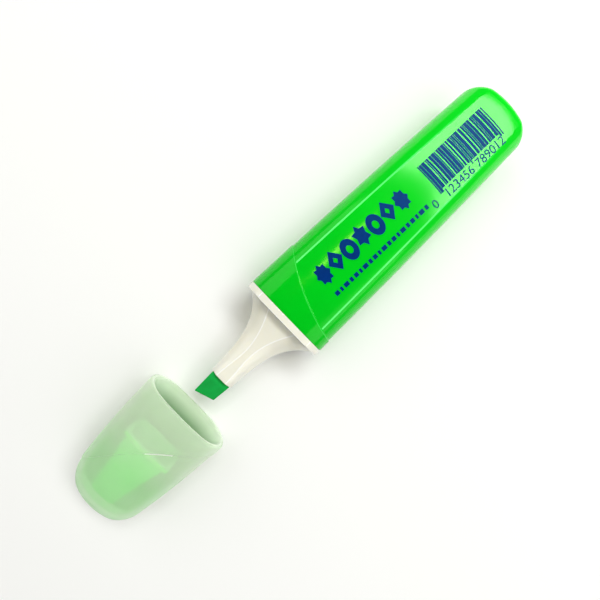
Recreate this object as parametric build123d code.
"""Flat pocket highlighter with its pull-off cap lying in front of the nib.

Axes: +X runs from the nib to the closed end of the barrel, +Y is across the wide side, +Z is up.
Everything is drawn with x = 0 at the mouth of the barrel and z = 0 on the pen's axis, then
moved once, at the end, so that the set stands on z = 0 with its box centred on the origin.
"""
from build123d import *
import math
import os

os.makedirs("parts", exist_ok=True)

# ------------------------------------------------------------------ barrel, mm
BODY_LENGTH = 88.6        # mouth to the crown of the closed end
BODY_WIDTH = 28.0         # across the mouth, behind the raised collar
BODY_THICK = 16.4         # top panel to bottom panel
BODY_DROP = 2.4           # half width lost toward the closed end
BODY_EARLY = 0.53         # part of that loss that is straight taper, the rest is bow
WALL = 1.3                # moulded wall of barrel and cap
BAND = 4.7                # side band, from crease to silhouette
CROWN = 45.0              # radius of the top and bottom panels
DOME = 40.0               # plan radius of the closed ends
REAR_ROUND = 3.2          # edge of the closed end, seen from the side
REAR_CORNER = 2.6         # and from above
STEP = 0.25               # height of the collar, and of the cap's raised zone
COLLAR_LINE = (17.6, 7.3, 3.6)   # collar's edge at the left side, on the axis, at the right side
FOOT = 0.4                # depth of the resting flat, measured on the collar
RIB = 1.0                 # thickness of the ribs inside
RIB_ANGLE = 33.0          # how far up the film tube the cradle ribs hold it, degrees
REAR_SPACE = 8.5          # rear end of the ink fibre to the crown of the closed end

# ------------------------------------------------------------------ front section
FLANGE = 2.1
SPIGOT = 8.0              # length inside the barrel
SPIGOT_WALL = 1.1
SPIGOT_FIT = 0.08         # spigot in barrel, each side
BEAD_START = 3.6          # snap bead on the spigot, behind the flange
BEAD_LENGTH = 1.4
BEAD = 0.25
NECK_LENGTH = 23.9        # flange face to the nib opening
NECK_WALL = 0.65
FLARE_WALL = 1.2
FLARE_RATE = 4.0          # how fast the flare dies away along the neck
ROOT_GAP = 0.3            # root of the flare to the inside of the closed cap
FACET_NIB = 1.75          # half width of the flat on top: at the nib opening
FACET_WAIST = 0.6         # share of it that is lost at the waist
FACET_ROOT = 5.2          # and at the flange
CHAMBER = 11.0            # hollow inside the flare, in front of the flange face
VENT_WIDTH = 1.2
VENT_DEPTH = 0.5
VENT_LENGTH = 16.0

# ------------------------------------------------------------------ felt and ink
NIB_WIDTH = 6.6
NIB_THICK = 4.6
NIB_REACH = 8.3           # in front of the neck, along the longer corner
NIB_SEAT = 8.0            # inside the ink fibre
NIB_BEVEL = 6.2           # length of the wedge
NIB_EDGE_WIDTH = 5.95     # writing edge
NIB_EDGE_THICK = 1.2
NIB_SLANT = 1.9           # one corner of the writing edge leads the other
TUBE_GAP = 0.6            # film tube to the barrel's top and bottom walls
TUBE_FIT = 0.05           # film tube to the cradle ribs
FILM = 0.25

# ------------------------------------------------------------------ cap
CAP_CLEAR = 5.2           # felt to the mouth of the open cap
CAP_OVER = 0.5            # half width at the mouth, over the barrel's
CAP_DROP_W = 3.8          # half width lost toward the closed end
CAP_EARLY_W = 0.23
CAP_DROP_T = 1.2          # half thickness lost toward the closed end
CAP_EARLY_T = 0.3
CAP_ROUND = 4.4
CAP_CORNER = 4.2
CAP_LINE = (31.0, 9.7, 2.5)      # edge of the raised zone behind the mouth: left, middle, right
CAP_LINE_Y = (12.0, -3.9)        # where the left and middle ones are, across the cap
SHUT_GAP = 0.05           # cap mouth to flange when closed
SEAL_FRONT = 13.4         # inner cup's plate, behind the cap's mouth
SEAL_PLATE = 1.2
SEAL_WALL = 0.8
SEAL_MOUTH = 8.4          # half width of the plate
SEAL_UNDER = 0.5          # mouth of the inner cup to the cap's top and bottom walls
SEAL_FIT = 0.10           # inner cup round the end of the neck
SEAL_LAND = 2.5           # length of that fit
NIB_ROOM_W = 0.35         # air beside the felt in the inner cup
NIB_ROOM_T = 0.5          # air over and under it
NIB_AIR = 0.7             # writing edge to the end of the inner cup
END_GAP = 0.8             # inner cup to the closed end of the cap

# ------------------------------------------------------------------ derived
HALF_W = BODY_WIDTH / 2
HALF_T = BODY_THICK / 2
COLLAR_T = HALF_T + STEP + 0.05
AXIS_Z = COLLAR_T - FOOT
NECK_END = -FLANGE - NECK_LENGTH
NIB_END = NECK_END - NIB_REACH
NECK_W = NIB_WIDTH / 2 + NECK_WALL
NECK_T = NIB_THICK / 2 + VENT_DEPTH + NECK_WALL + 0.25
ROOT_W = HALF_W - WALL - ROOT_GAP
ROOT_T = HALF_T - WALL - ROOT_GAP - 0.1
TUBE_R = HALF_T - WALL - TUBE_GAP
CORE_FRONT = SPIGOT
CORE_BACK = BODY_LENGTH - REAR_SPACE
SHUT_NECK = NECK_LENGTH - SHUT_GAP + SEAL_FIT      # shoulder of the inner cup, behind the cap's mouth
CUP_END = SHUT_NECK + NIB_REACH + NIB_AIR
CAP_LENGTH = CUP_END + SEAL_WALL + END_GAP + WALL + STEP
CAP_TRAVEL = NECK_LENGTH + NIB_REACH + CAP_CLEAR
CAP_MOUTH = -FLANGE - SHUT_GAP - CAP_TRAVEL
CENTRE_X = (BODY_LENGTH + CAP_MOUTH - CAP_LENGTH) / 2
FAR = 2 * (BODY_LENGTH + CAP_LENGTH)                # beyond everything, for cutting tools


# ------------------------------------------------------------------ outlines across the pen
def face_of(*edges):
    """Closed planar face from edges given in order."""
    return Face(Wire(edges))


def four_arcs(x, yc, zc, a, b):
    """Outline through its four corners (yc, zc) and the four points furthest out."""
    return face_of(
        ThreePointArc((x, -yc, zc), (x, 0, b), (x, yc, zc)),
        ThreePointArc((x, yc, zc), (x, a, 0), (x, yc, -zc)),
        ThreePointArc((x, yc, -zc), (x, 0, -b), (x, -yc, -zc)),
        ThreePointArc((x, -yc, -zc), (x, -a, 0), (x, -yc, zc)),
    )


def creased(x, a, b):
    """Crowned panels top and bottom, one arc down each side, four creases between them."""
    yc = a - BAND
    return four_arcs(x, yc, b - yc * yc / (2 * CROWN), a, b)


def smooth(x, a, b, soft=0.45):
    """Oval of four arcs, tangent all the way round; soft is how much the sides are tightened."""
    side_r = b - soft
    panel_r = (a * a + b * b - 2 * a * side_r) / (2 * soft)
    reach = panel_r / (panel_r - side_r)
    return four_arcs(x, (a - side_r) * reach, (b - panel_r) + (panel_r - b) * reach, a, b)


def faceted(x, a, b, top, bulge=0.10):
    """Narrow flat on top, full shoulders, short flat down each side."""
    s = 0.35 * b
    my = (a + top) / 2 + bulge * (b - s)
    mz = (b + s) / 2 + bulge * (a - top)
    return face_of(
        Line((x, -top, b), (x, top, b)),
        ThreePointArc((x, top, b), (x, my, mz), (x, a, s)),
        Line((x, a, s), (x, a, -s)),
        ThreePointArc((x, a, -s), (x, my, -mz), (x, top, -b)),
        Line((x, top, -b), (x, -top, -b)),
        ThreePointArc((x, -top, -b), (x, -my, -mz), (x, -a, -s)),
        Line((x, -a, -s), (x, -a, s)),
        ThreePointArc((x, -a, s), (x, -my, mz), (x, -top, b)),
    )


# ------------------------------------------------------------------ how sizes run along the pen
def loss(s, early):
    """Goes 0 to 1 along a tapered part; early is the share of straight taper."""
    return early * s + (1 - early) * s * s


def body_w(x):
    """Half width of the barrel at x."""
    return HALF_W - BODY_DROP * loss(x / BODY_LENGTH, BODY_EARLY)


def cap_w(d):
    """Half width of the cap, d behind its mouth."""
    return HALF_W + CAP_OVER - CAP_DROP_W * loss(d / CAP_LENGTH, CAP_EARLY_W)


def cap_t(d):
    """Half thickness of the cap, d behind its mouth."""
    return COLLAR_T + 0.15 - CAP_DROP_T * loss(d / CAP_LENGTH, CAP_EARLY_T)


def neck_outline(u, grow=0.0, x=None):
    """Outline of the flared neck, u = 0 at the flange and 1 at the nib opening."""
    end = math.exp(-FLARE_RATE)
    flare = (math.exp(-FLARE_RATE * u) - end) / (1 - end)
    a = NECK_W + (ROOT_W - NECK_W) * flare + grow
    b = NECK_T + (ROOT_T - NECK_T) * flare + grow
    waist = 1 - FACET_WAIST * math.sin(math.pi * u) ** 2
    top = FACET_NIB * waist + (FACET_ROOT - FACET_NIB) * flare + 0.4 * grow
    if x is None:
        x = -FLANGE - u * NECK_LENGTH
    return faceted(x, a, b, top)


# ------------------------------------------------------------------ tools
def block(x0, x1, y0, y1, z0, z1):
    """Box between two corners."""
    mid = ((x0 + x1) / 2, (y0 + y1) / 2, (z0 + z1) / 2)
    return Pos(*mid) * Box(abs(x1 - x0), abs(y1 - y0), abs(z1 - z0))


def rod(x0, x1, radius):
    """Round bar along the pen's axis."""
    return Pos((x0 + x1) / 2, 0, 0) * Rot(0, 90, 0) * Cylinder(radius, x1 - x0)


def upright(plan):
    """Prism through the whole thickness from a face lying in the plane z = 0."""
    return Pos(0, 0, -FAR) * extrude(plan, 2 * FAR, dir=(0, 0, 1))


def closed_end(solid, crown_x, sign, half_w, half_t, dome, rounding, corner):
    """Bow, round and corner the closed end of a long solid; sign is the way the end points."""
    def at(t, y, z=0):
        return (crown_x - sign * t, y, z)

    # turned disc: its rim is the bowed end, with the top and bottom edges rounded
    h = half_t + 0.02
    k = rounding * (1 - math.sqrt(0.5))
    profile = face_of(
        Line(at(dome, 0, -h), at(rounding, 0, -h)),
        ThreePointArc(at(rounding, 0, -h), at(k, 0, k - h), at(0, 0, rounding - h)),
        Line(at(0, 0, rounding - h), at(0, 0, h - rounding)),
        ThreePointArc(at(0, 0, h - rounding), at(k, 0, h - k), at(rounding, 0, h)),
        Line(at(rounding, 0, h), at(dome, 0, h)),
        Line(at(dome, 0, h), at(dome, 0, -h)),
    )
    disc = revolve(profile, Axis(at(dome, 0), (0, 0, 1)), 360)
    start = dome - math.sqrt((dome - rounding) ** 2 - half_w ** 2) + 0.3
    rest = block(crown_x - sign * start, crown_x - sign * FAR, -FAR, FAR, -FAR, FAR)

    # plan of the end, with its two corners rounded
    run = math.sqrt((dome - corner) ** 2 - (half_w - corner) ** 2)
    scale = dome / (dome - corner)
    t_side = dome - run
    t_dome = dome - run * scale
    y_dome = (half_w - corner) * scale
    half_turn = (math.atan2(half_w - corner, run) + math.pi / 2) / 2
    t_mid = t_side - corner * math.cos(half_turn)
    y_mid = half_w - corner + corner * math.sin(half_turn)
    plan = face_of(
        ThreePointArc(at(t_side, half_w), at(t_mid, y_mid), at(t_dome, y_dome)),
        ThreePointArc(at(t_dome, y_dome), at(0, 0), at(t_dome, -y_dome)),
        ThreePointArc(at(t_dome, -y_dome), at(t_mid, -y_mid), at(t_side, -half_w)),
        Line(at(t_side, -half_w), at(t_side, -FAR)),
        Line(at(t_side, -FAR), at(FAR, -FAR)),
        Line(at(FAR, -FAR), at(FAR, FAR)),
        Line(at(FAR, FAR), at(t_side, FAR)),
        Line(at(t_side, FAR), at(t_side, half_w)),
    )
    return solid & (disc + rest) & upright(plan)


def zone_before(arc, x_flat):
    """Prism between a plan arc through three points and the straight line x = x_flat."""
    first, middle, last = arc
    plan = face_of(
        ThreePointArc(first, middle, last),
        Line(last, (x_flat, last[1], 0)),
        Line((x_flat, last[1], 0), (x_flat, first[1], 0)),
        Line((x_flat, first[1], 0), first),
    )
    return upright(plan)


# ------------------------------------------------------------------ barrel
def barrel_form(inset):
    """The barrel's outside (inset 0) or a copy set in all round."""
    end = BODY_LENGTH - inset
    stations = [(end + 1) * k / 3 for k in range(4)]
    long = loft([creased(x, body_w(x) - inset, HALF_T - inset) for x in stations])
    edge_w = body_w(end - REAR_CORNER) - inset
    return closed_end(long, end, 1, edge_w, HALF_T - inset,
                      DOME - inset, REAR_ROUND - inset / 2, REAR_CORNER - inset / 2)


def make_collar():
    """Raised smooth zone round the mouth, ending in a slanting arc."""
    left, middle, right = COLLAR_LINE
    reach = HALF_W + 2
    stations = (0, (left + 3) / 2, left + 3)
    sleeve = loft([smooth(x, body_w(x) + STEP, COLLAR_T) for x in stations])
    return sleeve & zone_before([(left, reach, 0), (middle, 0, 0), (right, -reach, 0)], 0)


def make_ribs():
    """Four ribs that cradle the film tube and a cross that stops its rear end."""
    up = math.radians(RIB_ANGLE)
    rib_y = (TUBE_R + TUBE_FIT) * math.cos(up)
    rib_z = (TUBE_R + TUBE_FIT) * math.sin(up)
    mid_wall = loft([creased(x, body_w(x) - WALL / 2, HALF_T - WALL / 2)
                     for x in (0, BODY_LENGTH / 2, BODY_LENGTH - REAR_ROUND)])
    ribs = []
    for y in (-1, 1):
        for z in (-1, 1):
            rib = block(SPIGOT + 1, CORE_BACK, y * rib_y, y * (rib_y + RIB), z * rib_z, z * HALF_T)
            ribs.append(rib & mid_wall)
    arm = TUBE_R - RIB
    ribs.append(block(CORE_BACK, BODY_LENGTH - WALL, -arm, arm, -RIB / 2, RIB / 2))
    ribs.append(block(CORE_BACK, BODY_LENGTH - WALL, -RIB / 2, RIB / 2, -arm, arm))
    return ribs


def make_barrel():
    """Closed shell with its collar, snap groove, cradle ribs and rear stop."""
    shell = barrel_form(0) + make_collar() - barrel_form(WALL)
    x0 = BEAD_START - SPIGOT_FIT
    x1 = BEAD_START + BEAD_LENGTH + SPIGOT_FIT
    groove = loft([creased(x, body_w(x) - WALL + BEAD, HALF_T - WALL + BEAD) for x in (x0, x1)])
    shell = shell - groove
    for rib in make_ribs():
        shell = shell + rib
    return shell


# ------------------------------------------------------------------ front section
def spigot_outline(x, inset=0.0):
    """Outline that slips into the barrel's mouth."""
    gap = WALL + SPIGOT_FIT + inset
    return creased(x, body_w(x) - gap, HALF_T - gap)


def make_nose():
    """One moulding: flange, spigot with its bead, flare, faceted neck, nib channel, vent."""
    steps = (0, 0.06, 0.13, 0.22, 0.34, 0.48, 0.65, 0.82, 1)
    flare = loft([neck_outline(u) for u in steps])
    flange = extrude(creased(-FLANGE, HALF_W + STEP - 0.05, COLLAR_T - 0.05), FLANGE, dir=(1, 0, 0))
    spigot = loft([spigot_outline(x) for x in (0, SPIGOT)])
    bead = loft([spigot_outline(x, -BEAD) for x in (BEAD_START, BEAD_START + BEAD_LENGTH)])

    # one hollow from the flare to the rear of the spigot, then the felt's channel and its vent
    deep = CHAMBER / NECK_LENGTH
    chamber = loft([neck_outline(deep * k / 5, -FLARE_WALL) for k in range(6)])
    root = extrude(neck_outline(0, -FLARE_WALL), FLANGE, dir=(1, 0, 0))
    hall = loft([spigot_outline(x, SPIGOT_WALL) for x in (0, SPIGOT + 0.01)])
    w, t = NIB_WIDTH / 2, NIB_THICK / 2
    channel = block(NECK_END - 1, 0, -w, w, -t, t)
    vent = block(NECK_END - 1, NECK_END + VENT_LENGTH, w / 4, w / 4 + VENT_WIDTH, t, t + VENT_DEPTH)
    return flare + flange + spigot + bead - chamber - root - hall - channel - vent


# ------------------------------------------------------------------ felt, ink fibre, film
def make_nib():
    """Felt strip with a slanted writing edge and a wedge cut from both faces."""
    w, t = NIB_WIDTH / 2, NIB_THICK / 2
    edge_w, edge_t = NIB_EDGE_WIDTH / 2, NIB_EDGE_THICK / 2
    back = CORE_FRONT + NIB_SEAT
    plan = Polyline((back, -w, 0), (back, w, 0), (NECK_END, w, 0), (NIB_END, edge_w, 0),
                    (NIB_END + NIB_SLANT, -edge_w, 0), (NECK_END, -w, 0), close=True)
    heel = NIB_END + NIB_BEVEL
    side = Polyline((back, 0, -t), (back, 0, t), (heel, 0, t), (NIB_END, 0, edge_t),
                    (NIB_END, 0, -edge_t), (heel, 0, -t), close=True)
    wedge = Pos(0, -FAR, 0) * extrude(Face(Wire(side.edges())), 2 * FAR, dir=(0, 1, 0))
    return upright(Face(Wire(plan.edges()))) & wedge


def make_core():
    """Bundled ink fibre with a pocket for the felt."""
    w, t = NIB_WIDTH / 2, NIB_THICK / 2
    pocket = block(CORE_FRONT, CORE_FRONT + NIB_SEAT, -w, w, -t, t)
    return rod(CORE_FRONT, CORE_BACK, TUBE_R - FILM) - pocket


def make_sleeve():
    """Film wrap, open at both ends."""
    return rod(CORE_FRONT, CORE_BACK, TUBE_R) - rod(CORE_FRONT, CORE_BACK, TUBE_R - FILM)


# ------------------------------------------------------------------ cap
def cap_form(inset):
    """The cap's outside (inset 0) or a copy set in all round."""
    length = CAP_LENGTH - inset
    stations = [(length + 1) * k / 3 for k in range(4)]
    long = loft([smooth(CAP_MOUTH - d, cap_w(d) - inset, cap_t(d) - inset) for d in stations])
    return closed_end(long, CAP_MOUTH - length, -1, cap_w(length - CAP_CORNER) - inset,
                      cap_t(length) - inset, DOME - inset, CAP_ROUND - inset / 2, CAP_CORNER - inset / 2)


def cap_cavity():
    """The hollow of the outer cap."""
    return cap_form(WALL + STEP)


def make_cap():
    """Frosted cup whose raised mouth zone ends in a slanting arc."""
    left, middle, right = CAP_LINE
    left_y, middle_y = CAP_LINE_Y
    reach = HALF_W + 2
    arc = [(CAP_MOUTH - right, -reach, 0), (CAP_MOUTH - middle, middle_y, 0), (CAP_MOUTH - left, left_y, 0)]
    beside = block(CAP_MOUTH - left, CAP_MOUTH, left_y, reach, -HALF_T - 2, HALF_T + 2)
    raised = cap_form(0) & (zone_before(arc, CAP_MOUTH) + beside)
    return cap_form(STEP) + raised - cap_cavity()


def make_seal():
    """Inner cup: plate held by the cap's walls, funnel, land round the neck, room for the felt."""
    def x(d):
        return CAP_MOUTH - d

    def cup(d, w, t):
        """Outside of the cup where a w by t rectangle, half sizes, has to fit inside."""
        corner = 0.35 * t
        return smooth(x(d), w + SEAL_WALL + corner, t + SEAL_WALL + corner, 0.3)

    def room(d, w, t):
        """Rectangle across the cup, from its half sizes."""
        return face_of(Line((x(d), -w, -t), (x(d), w, -t)), Line((x(d), w, -t), (x(d), w, t)),
                       Line((x(d), w, t), (x(d), -w, t)), Line((x(d), -w, t), (x(d), -w, -t)))

    mouth_t = cap_t(SEAL_FRONT) - WALL - STEP - SEAL_UNDER
    felt_w, felt_t = NIB_WIDTH / 2 + NIB_ROOM_W, NIB_THICK / 2 + NIB_ROOM_T
    edge_w, edge_t = NIB_EDGE_WIDTH / 2 + NIB_ROOM_W, NIB_EDGE_THICK / 2 + NIB_ROOM_T
    heel = SHUT_NECK + NIB_REACH - NIB_BEVEL + NIB_AIR
    outer = loft([smooth(x(SEAL_FRONT), SEAL_MOUTH, mouth_t, 0.3), cup(SHUT_NECK, felt_w, felt_t),
                  cup(heel, felt_w, felt_t), cup(CUP_END + SEAL_WALL, edge_w, edge_t)], ruled=True)
    slab = block(x(SEAL_FRONT + SEAL_PLATE), x(SEAL_FRONT), -SEAL_MOUTH, SEAL_MOUTH, -FAR, FAR)

    mouth = faceted(x(SEAL_FRONT - 0.01), SEAL_MOUTH - SEAL_WALL, mouth_t - SEAL_WALL, FACET_ROOT)
    land_start = neck_outline(1 - SEAL_LAND / NECK_LENGTH, SEAL_FIT, x(SHUT_NECK - SEAL_LAND))
    land_end = neck_outline(1, SEAL_FIT, x(SHUT_NECK))
    funnel = loft([mouth, land_start], ruled=True)
    land = loft([land_start, land_end], ruled=True)
    pocket = loft([room(SHUT_NECK - 0.01, felt_w, felt_t), room(heel, felt_w, felt_t),
                   room(CUP_END, edge_w, edge_t)], ruled=True)
    return (cap_cavity() & (outer + slab)) - funnel - land - pocket


# ------------------------------------------------------------------ place and write
def placed(solid):
    """Cut the resting flat and move the piece into the shared frame."""
    below = block(-FAR, FAR, -FAR, FAR, -FAR, -AXIS_Z)
    return Pos(-CENTRE_X, 0, AXIS_Z) * (solid - below)


def main():
    pieces = {
        "barrel": make_barrel(),
        "nose": make_nose(),
        "nib": make_nib(),
        "reservoir_core": make_core(),
        "reservoir_sleeve": make_sleeve(),
        "cap_shell": make_cap(),
        "cap_inner_seal": make_seal(),
    }
    for name, solid in pieces.items():
        shape = placed(solid)
        box = shape.bounding_box()
        print(f"{name}: {len(shape.solids())} solid, {shape.volume:.0f} mm3, "
              f"x {box.min.X:.2f}..{box.max.X:.2f} y {box.min.Y:.2f}..{box.max.Y:.2f} "
              f"z {box.min.Z:.2f}..{box.max.Z:.2f}")
        export_step(shape, f"parts/{name}.step")


main()
